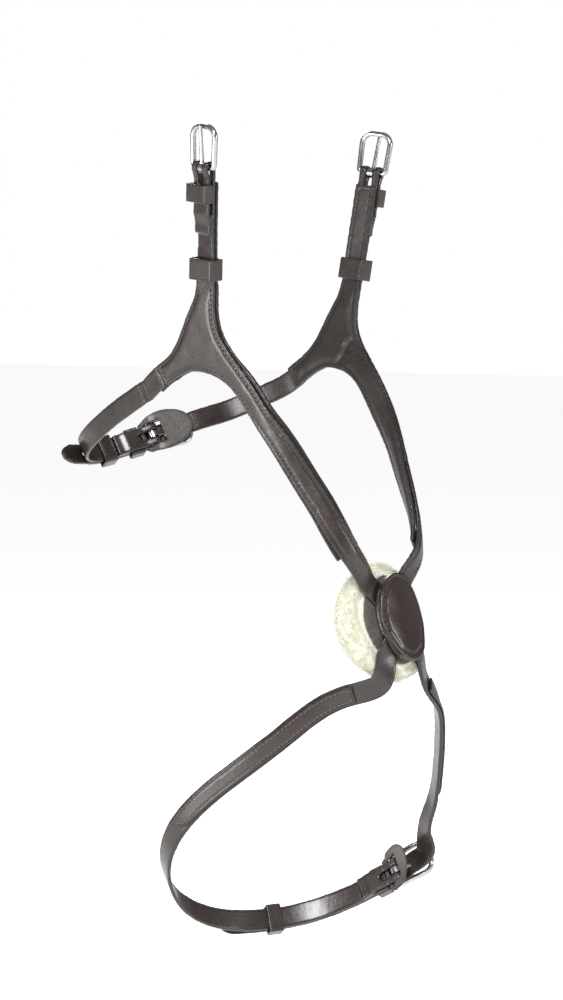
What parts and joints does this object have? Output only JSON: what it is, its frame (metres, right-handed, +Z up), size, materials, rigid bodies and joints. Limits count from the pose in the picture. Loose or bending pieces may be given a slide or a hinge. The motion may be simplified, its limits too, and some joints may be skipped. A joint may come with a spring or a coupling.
{
  "type": "grackle noseband",
  "caption": "Figure-eight bridle noseband in dark leather with a fleece-backed nose pad, buckled jowl and chin straps and cheek buckles.",
  "frame": {"origin": "the point on the horse's nose where the middle of the fleece pad rests", "axes": "+Z up along the hanging height, -Y towards the horse's nose, +X to the horse's left"},
  "size_m": [0.1708, 0.2339, 0.4967],
  "materials": {
    "outer_leather": "semi-gloss dark brown bridle leather",
    "lining_leather": "soft matt dark brown lining leather",
    "steel": "polished stainless steel",
    "fleece": "cream sheepskin"
  },
  "bodies": {
    "nose_and_cheeks": {"nose_shield": "outer_leather", "nose_backing": "lining_leather", "sheepskin_pad": "fleece", "left_cheek_leather": "outer_leather", "left_cheek_lining": "lining_leather", "left_cheek_fixed_keeper": "outer_leather", "right_cheek_leather": "outer_leather", "right_cheek_lining": "lining_leather", "right_cheek_fixed_keeper": "outer_leather"},
    "jowl_loop": {"right_jowl_strap": "outer_leather", "left_jowl_strap": "outer_leather", "jowl_buckle_frame": "steel", "jowl_safe": "outer_leather", "jowl_fixed_keeper": "outer_leather"},
    "jowl_tongue": {"jowl_buckle_tongue": "steel"},
    "jowl_loose_keeper": {"jowl_runner": "outer_leather"},
    "chin_loop": {"right_chin_strap": "outer_leather", "left_chin_strap": "outer_leather", "right_chin_overlay": "outer_leather", "left_chin_overlay": "outer_leather", "chin_buckle_frame": "steel", "chin_safe": "outer_leather", "chin_fixed_keeper": "outer_leather"},
    "chin_tongue": {"chin_buckle_tongue": "steel"},
    "chin_loose_keeper": {"chin_runner": "outer_leather"},
    "left_cheek_buckle": {"left_cheek_buckle_frame": "steel"},
    "left_cheek_tongue": {"left_cheek_buckle_tongue": "steel"},
    "left_cheek_loose_keeper": {"left_cheek_runner": "outer_leather"},
    "right_cheek_buckle": {"right_cheek_buckle_frame": "steel"},
    "right_cheek_tongue": {"right_cheek_buckle_tongue": "steel"},
    "right_cheek_loose_keeper": {"right_cheek_runner": "outer_leather"}
  },
  "joints": [
    {"name": "left_cheek_buckle_turn", "type": "hinge", "parent": "nose_and_cheeks", "child": "left_cheek_buckle", "pos_m": [0.07893, 0.06646, 0.27076], "axis": [-0.1452, 0.9819, 0.1216], "range_deg": [-30, 30]},
    {"name": "left_cheek_tongue_turn", "type": "hinge", "parent": "left_cheek_buckle", "child": "left_cheek_tongue", "pos_m": [0.07893, 0.06646, 0.27076], "axis": [-0.1452, 0.9819, 0.1216], "range_deg": [0, 75]},
    {"name": "left_cheek_runner_slide", "type": "slide", "parent": "nose_and_cheeks", "child": "left_cheek_loose_keeper", "axis": [0.0989, -0.1079, 0.9892], "range_m": [-0.002, 0.006]},
    {"name": "right_cheek_buckle_turn", "type": "hinge", "parent": "nose_and_cheeks", "child": "right_cheek_buckle", "pos_m": [-0.07893, 0.06646, 0.27076], "axis": [-0.1452, -0.9819, -0.1216], "range_deg": [-30, 30]},
    {"name": "right_cheek_tongue_turn", "type": "hinge", "parent": "right_cheek_buckle", "child": "right_cheek_tongue", "pos_m": [-0.07893, 0.06646, 0.27076], "axis": [-0.1452, -0.9819, -0.1216], "range_deg": [0, 75]},
    {"name": "right_cheek_runner_slide", "type": "slide", "parent": "nose_and_cheeks", "child": "right_cheek_loose_keeper", "axis": [-0.0989, -0.1079, 0.9892], "range_m": [-0.002, 0.006]},
    {"name": "jowl_loop_swing", "type": "hinge", "parent": "nose_and_cheeks", "child": "jowl_loop", "pos_m": [0, 0.12578, 0.138], "axis": [1, 0, 0], "range_deg": [-15, 18]},
    {"name": "chin_loop_swing", "type": "hinge", "parent": "nose_and_cheeks", "child": "chin_loop", "pos_m": [0, -0.02003, -0.0297], "axis": [1, 0, 0], "range_deg": [-28, 8]},
    {"name": "jowl_tongue_lift", "type": "hinge", "parent": "jowl_loop", "child": "jowl_tongue", "pos_m": [-0.00042, 0.17721, 0.10831], "axis": [0, 0.5, 0.866], "range_deg": [0, 3.5]},
    {"name": "jowl_runner_slide", "type": "slide", "parent": "jowl_loop", "child": "jowl_loose_keeper", "axis": [0.9157, -0.3481, 0.201], "range_m": [-0.0012, 0.0004]},
    {"name": "chin_tongue_lift", "type": "hinge", "parent": "chin_loop", "child": "chin_tongue", "pos_m": [0.06279, 0.03394, -0.1584], "axis": [0.2066, 0.5701, 0.7952], "range_deg": [0, 3.5]},
    {"name": "chin_runner_slide", "type": "slide", "parent": "chin_loop", "child": "chin_loose_keeper", "axis": [0.8308, -0.5525, 0.0676], "range_m": [-0.0015, 0.002]}
  ]
}
